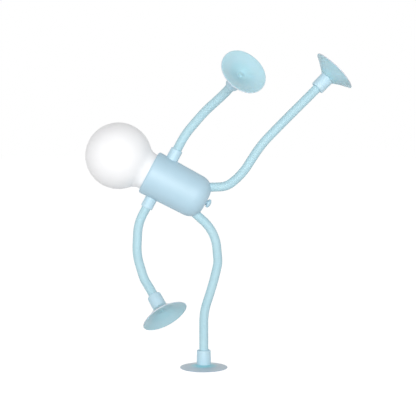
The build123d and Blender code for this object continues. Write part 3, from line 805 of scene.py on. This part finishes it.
def gooseneck(rows, start, heading, ends, hinges, nodes):
    """Sleeve and wire of one limb, a piece for each hinge. The radius of the sleeve is the hose's,
    less half the rib's depth times one minus the cosine of a full turn for each pitch. Ends are the
    straight lengths before the first row and after the last. Returns where the centre line ends."""
    runs = [(ends[0], 0.0, 0.0)]
    places = [ends[0]]
    for row in rows:
        steps = [(length * MM, turn, lean) for length, turn, lean in row]
        runs += [(pivot_straight, 0.0, 0.0), *steps, (pivot_straight, 0.0, 0.0)]
        places.append(places[-1] + 2 * pivot_straight + sum(step[0] for step in steps))
    runs.append((ends[1], 0.0, 0.0))
    places = places[: len(hinges)]
    centre, headings, across, gone = walk(start, heading, runs, rib_pitch / rings_per_rib)
    whole = gone[-1]
    cuts = [0.0] + [(a + b) / 2 for a, b in zip(places, places[1:])] + [whole]
    radius = hose_radius - rib_depth / 2 * (1 - np.cos(2 * np.pi * gone / rib_pitch))
    for number, (name, place) in enumerate(zip(hinges, places)):
        joint = joints[name]
        marks = [int(np.argmin(abs(gone - cut))) for cut in cuts[number : number + 2]]
        part = slice(marks[0], marks[1] + 1)
        line_part = (centre[part], across[part], headings[part])
        sleeve = tube(f"{name}_sleeve", *line_part, radius[part], hose_bore, sleeve_pvc)
        wire = tube(f"{name}_wire", *line_part, wire_radius, 0, wire_steel, around=16)
        for piece, kind, slot in ((sleeve, "hose", "hose"), (wire, "wire", "bending_wire")):
            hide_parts(*nodes[number][kind])
            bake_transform(piece)
        gap = np.linalg.norm(centre[np.argmin(abs(gone - place))] - np.array(joint["pos_m"]))
        print(name, "off its hinge by mm", round(gap / MM, 3), "faces", len(sleeve.data.polygons))
    return centre[-1], headings[-1]


print("rings lie apart in mm", round(rib_pitch / rings_per_rib / MM, 4))


# %% Make the four goosenecks
def limb_nodes(limb, count, root):
    """The nodes that each piece stands for: its own length, and for the first one the roots."""
    rows = [{kind: [f"{limb}_{kind}_{i + 1}"] for kind in ("hose", "wire")} for i in range(count)]
    rows[0]["hose"].append(root)
    rows[0]["wire"].append("wire_roots")
    return rows


wrists = {}
for limb, way, rows, hinges in (
    ("raised_arm", 1, raised_arm_rows, ("raised_shoulder", "raised_elbow", "raised_wrist")),
    ("lowered_arm", -1, lowered_arm_rows, ("lowered_shoulder", "lowered_elbow", "lowered_wrist")),
):
    heading = side * way
    start = Vector(joints[hinges[0]]["pos_m"]) - heading * arm_root
    wrists[limb] = gooseneck(
        rows,
        start,
        heading,
        (arm_root, collar_hose_depth),
        hinges,
        limb_nodes(limb, 3, "arm_hose_roots"),
    )

leg_heading = side * np.sin(raised_splay) + down * np.cos(raised_splay)
wrists["raised_leg"] = gooseneck(
    raised_leg_rows,
    Vector(joints["raised_hip"]["pos_m"]) - leg_heading * raised_root,
    leg_heading,
    (raised_root, collar_hose_depth),
    ("raised_hip", "raised_knee", "raised_shin", "raised_ankle"),
    limb_nodes("raised_leg", 4, "leg_hose_roots"),
)
gooseneck(
    standing_leg_rows,
    (0.0, 0.0, foot_top - collar_hose_depth),
    (0.0, 0.0, 1.0),
    (foot_height - foot_top + collar_hose_depth, standing_root),
    ("standing_ankle", "standing_shin", "standing_knee", "standing_hip"),
    limb_nodes("standing_leg", 4, "leg_hose_roots")[::-1],
)
for limb, ending in wrists.items():
    print(limb, "ends in mm at", np.round(ending[0] / MM, 1))

# %% [markdown]
# ## Collars and suction cups
#
# Each gooseneck ends in a moulded collar, a short barrel that widens a little towards the cup. The
# cup is one soft moulding: a post in the collar, a thick middle, and a skirt that thins out to a
# fine lip. It could be a cone with a thickness modifier, but a real cup isn't equally thick, so its
# outline is drawn all the way round, outside, lip and inside. The free cups keep the slow wave that
# a thin soft skirt takes, and the standing cup is pressed flat.

# %% Outline of the collar
collar_length, collar_hose_end, collar_cup_end = 11.0 * MM, 5.28 * MM, 5.43 * MM
post_radius, post_hole, post_clearance = 3.23 * MM, 3.29 * MM, 0.06 * MM
collar_rounding = np.array([0.25, 1.1, 0.4, 0.1, 0.05, 0.05]) * MM
collar_outline = rounded(
    [
        (hose_hole, 0),
        (collar_hose_end, 0),
        (collar_cup_end, collar_length),
        (post_hole, collar_length),
        (post_hole, collar_hose_depth),
        (hose_hole, collar_hose_depth),
    ],
    collar_rounding,
    count=7,
)
print("collar outline points", len(collar_outline))

# %% Outline of a free cup
cup_radius, cup_depth, cup_neck, cup_middle = 17.86 * MM, 8.0 * MM, 5.98 * MM, 3.2 * MM
cup_edge, cup_lip, cup_well, nub_radius, nub_height = [v * MM for v in (0.7, 0.9, 3.0, 1.3, 0.7)]
post_end = -(collar_length - collar_hose_depth - post_clearance)
bell_outside, bell_inside = 0.57, 0.54


def arch(start, middle, end, count):
    """A quadratic curve that passes through a middle point: its corner is twice the middle less
    half of the two ends together."""
    start, middle, end = (np.array(point) for point in (start, middle, end))
    return bend(start, 2 * middle - (start + end) / 2, end, count)


def free_cup_outline():
    """Post, back of the bell, lip, inside of the bell, well and nub."""
    skirt, lip_inside, nub_top = cup_depth - cup_edge, cup_radius - cup_lip, cup_middle + nub_height
    half = cup_edge / 2
    back_middle = ((cup_neck + cup_radius) / 2, skirt * bell_outside)
    hollow = cup_depth - cup_middle
    front_middle = ((cup_well + lip_inside) / 2, cup_middle + hollow * bell_inside)
    back_end, edge, lip_start = (
        (cup_radius - half / 2, skirt),
        (cup_radius, skirt + half),
        (cup_radius - half, cup_depth),
    )
    return np.concatenate(
        [
            line((0, post_end), (post_radius, post_end)),
            line((post_radius, post_end), (post_radius, 0)),
            line((post_radius, 0), (cup_neck - half, 0)),
            bend((cup_neck - half, 0), (cup_neck, 0), (cup_neck + half, half), 5),
            arch((cup_neck + half, half), back_middle, back_end, 26),
            bend(back_end, (cup_radius, skirt), edge, 5),
            bend(edge, (cup_radius, cup_depth), lip_start, 5),
            line(lip_start, (lip_inside, cup_depth)),
            arch((lip_inside, cup_depth), front_middle, (cup_well, cup_middle), 26),
            line((cup_well, cup_middle), (nub_radius, cup_middle), 4),
            bend((nub_radius, cup_middle), (nub_radius, nub_top), (0, nub_top), 8),
            [(0, nub_top)],
        ]
    )


print("free cup outline points", len(free_cup_outline()))

# %% Outline of the pressed cup
pressed_radius, pressed_height, pressed_edge = 18.1 * MM, 2.6 * MM, 0.5 * MM
pad_radius, pressed_lip, pressed_hollow, pressed_sag = 4.2 * MM, 11.9 * MM, 0.5 * MM, 0.36


def pressed_cup_outline():
    """Face with its shallow hollow, lip, sagging skirt, neck and post."""
    half = pressed_edge / 2
    sag = pressed_edge + (pressed_height - pressed_edge) * pressed_sag
    top = pressed_height - post_end
    hollow_start = (pad_radius + pressed_hollow, pressed_hollow)
    hollow_end = (pressed_lip - pressed_hollow, pressed_hollow)
    skirt_start = (pressed_radius - half, pressed_edge + half / 6)
    skirt_end = (cup_neck, pressed_height - half)
    return np.concatenate(
        [
            line((0, 0), (pad_radius, 0), 3),
            line((pad_radius, 0), hollow_start),
            line(hollow_start, hollow_end, 6),
            line(hollow_end, (pressed_lip, 0)),
            line((pressed_lip, 0), (pressed_radius - half, 0), 6),
            bend((pressed_radius - half, 0), (pressed_radius, 0), (pressed_radius, half), 5),
            bend((pressed_radius, half), (pressed_radius, pressed_edge), skirt_start, 5),
            arch(skirt_start, ((pressed_radius + cup_neck) / 2, sag), skirt_end, 26),
            bend(skirt_end, (cup_neck, pressed_height), (cup_neck - half, pressed_height), 4),
            line((cup_neck - half, pressed_height), (post_radius, pressed_height)),
            line((post_radius, pressed_height), (post_radius, top)),
            line((post_radius, top), (0, top)),
            [(0, top)],
        ]
    )


def thinness(outline, neck, edge):
    """0 at the neck and inside it, rising evenly with the radius to 1 at the edge."""
    return np.clip((outline[:, 0] - neck) / (edge - neck), 0, 1)


print("pressed cup outline points", len(pressed_cup_outline()))

# %% Put a collar and a cup on each limb
skirt_wave = 0.2 * MM
free_outline, pressed_outline = free_cup_outline(), pressed_cup_outline()


def points_of(piece):
    """All points of a piece, as an array of rows."""
    points = np.empty(len(piece.data.vertices) * 3, np.float32)
    piece.data.vertices.foreach_get("co", points)
    return points.reshape(-1, 3)


hands = {"raised_arm": "raised_hand", "lowered_arm": "lowered_hand", "raised_leg": "raised_foot"}
for limb, body in hands.items():
    end, heading = wrists[limb]
    place = end - heading * collar_hose_depth
    collar = turned(f"{limb}_end_collar", collar_outline, place, heading, collar_pvc, around=72)
    cup = turned(
        f"{limb}_cup",
        free_outline,
        place + heading * collar_length,
        heading,
        cup_pvc,
        around=144,
        values=thinness(free_outline, cup_neck, cup_radius),
        limp=skirt_wave,
    )
    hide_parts(f"{limb}_collar")
    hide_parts(f"{limb}_suction_cup")
    for piece, slot in ((collar, "collar"), (cup, "suction_cup")):
        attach(piece, body)
    low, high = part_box(f"{limb}_suction_cup")
    spread = points_of(cup)
    print(limb, "cup past its solid in mm", np.round((spread.max(0) - np.array(high)) / MM, 2))

foot_collar = turned(
    "standing_leg_end_collar",
    collar_outline,
    (0, 0, foot_top),
    (0, 0, -1),
    collar_pvc,
    around=72,
)
foot_cup = turned(
    "standing_leg_cup",
    pressed_outline,
    (0, 0, 0),
    (0, 0, 1),
    pressed_pvc,
    around=144,
    values=thinness(pressed_outline, cup_neck, pressed_radius),
)
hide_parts("standing_leg_collar")
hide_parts("standing_leg_suction_cup")
for piece, slot in ((foot_collar, "collar"), (foot_cup, "suction_cup")):
    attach(piece, "standing_foot")
print("standing cup is flat at", round(float(points_of(foot_cup)[:, 2].min()) / MM, 3))

# %% [markdown]
# ## Finishes of the pieces that stay as they are
#
# The housing and everything inside it already have their real shapes in the model, with all their
# holes and bosses. They could be made again here, but nothing would look better for it, so they
# only get their finishes.

# %% Give the housing and the inner pieces their finishes
finishes = {
    housing_abs: ["body_shell"],
    plate_abs: ["led_seat_plate"],
    light_board: ["led_board"],
    chip_phosphor: ["led_chips"],
    crimp_zinc: ["led_board_screws", "board_screws", "arm_ferrules", "leg_ferrules"],
    board_lacquer: ["control_board", "switch_board"],
    foam_pad: ["battery_pad"],
    foil_pouch: ["battery_cell"],
    socket_nickel: ["usb_socket"],
    switch_nylon: ["tact_switch"],
    lead_pvc: ["led_leads", "battery_leads"],
}
for material, names in finishes.items():
    for name in names:
        mesh = frame["nodes"][name].data
        mesh.materials.clear()
        mesh.materials.append(material)
print("nodes finished", sum(map(len, finishes.values())))

# %% [markdown]
# ## Floor, backdrop and light
#
# The photograph is a cut-out on white, lit softly from the front: the middle of each round form is
# bright and both its edges fall off. Upward faces are the darkest, so little light came from
# overhead. One large soft light stands behind the camera, a little higher than the lamp, and a
# white sky fills the rest, bright at the horizon and weak overhead. The floor and the sky look
# white to the camera without throwing that much light on the lamp, and the floor still takes the
# lamp's shadow.

# %% White paper floor
def shown_rays(tree):
    """1 for the rays that show the background in the picture, through clear pieces and in gloss,
    and 0 for the rays that light the lamp: the largest of three flags."""
    path = add(tree, "ShaderNodeLightPath")
    shown = path.outputs["Is Camera Ray"]
    for ray in ("Is Transmission Ray", "Is Glossy Ray"):
        either = add(tree, "ShaderNodeMath", {"operation": "MAXIMUM"})
        tree.links.new(shown, either.inputs[0])
        tree.links.new(path.outputs[ray], either.inputs[1])
        shown = either.outputs[0]
    return shown


floor_size, paper_glow = 6.0, 0.68
floor_mesh = bpy.data.meshes.new("floor")
corner = floor_size / 2
floor_corners = [(x * corner, y * corner, 0) for x, y in ((-1, -1), (1, -1), (1, 1), (-1, 1))]
floor_mesh.from_pydata(floor_corners, [], [(0, 1, 2, 3)])
floor = bpy.data.objects.new("floor", floor_mesh)
bpy.context.scene.collection.objects.link(floor)
paper, tree = new_material("floor_matt_white_paper")
glow_level = add(tree, "ShaderNodeMath", {"operation": "MULTIPLY"})
tree.links.new(shown_rays(tree), glow_level.inputs[0])
glow_level.inputs[1].default_value = paper_glow
white, glow_out = linear("#FFFFFF"), glow_level.outputs[0]
glow = add(tree, "ShaderNodeEmission", {"Color": white}, {"Strength": glow_out})
sheet = add(tree, "ShaderNodeBsdfDiffuse", {"Color": linear("#F4F4F4")})
both = add(tree, "ShaderNodeAddShader")
tree.links.new(sheet.outputs[0], both.inputs[0])
tree.links.new(glow.outputs[0], both.inputs[1])
add(tree, "ShaderNodeOutputMaterial", links={"Surface": both.outputs[0]})
floor_mesh.materials.append(paper)
print("floor is wide in metres", floor_size)

# %% Sky, bright at the horizon
horizon, overhead = -0.1, 0.9
sky_low, sky_high = 0.86, 0.22
world = bpy.data.worlds.new("sky")
bpy.context.scene.world = world
world.use_nodes = True
tree = world.node_tree
tree.nodes.clear()
direction = add(tree, "ShaderNodeTexCoord").outputs["Generated"]
height = add(tree, "ShaderNodeSeparateXYZ", links={"Vector": direction}).outputs["Z"]
dim = add(
    tree,
    "ShaderNodeMapRange",
    {"From Min": horizon, "From Max": overhead, "To Min": sky_low, "To Max": sky_high},
    {"Value": height},
)
level = add(
    tree,
    "ShaderNodeMapRange",
    {"To Max": 1.0},
    {"Value": shown_rays(tree), "To Min": dim.outputs["Result"]},
)
sky = add(tree, "ShaderNodeBackground", {"Color": white}, {"Strength": level.outputs["Result"]})
add(tree, "ShaderNodeOutputWorld", links={"Surface": sky.outputs[0]})
print("sky strength at the horizon and overhead", sky_low, sky_high)

# %% Soft front light
softbox_place, softbox_size, softbox_watts = Vector((-0.05, -1.58, 0.3)), 1.2, 21.5
low, high = cad_bounds
lamp_middle = (low + high) / 2
softbox_data = bpy.data.lights.new("front_softbox", "AREA")
softbox_data.size = softbox_size
softbox_data.energy = softbox_watts
softbox = bpy.data.objects.new("front_softbox", softbox_data)
softbox.location = softbox_place
softbox.rotation_euler = (lamp_middle - softbox_place).to_track_quat("-Z", "Y").to_euler()
bpy.context.scene.collection.objects.link(softbox)
bpy.context.scene.view_settings.view_transform = "Standard"
print("light aims at", [round(v, 3) for v in lamp_middle])
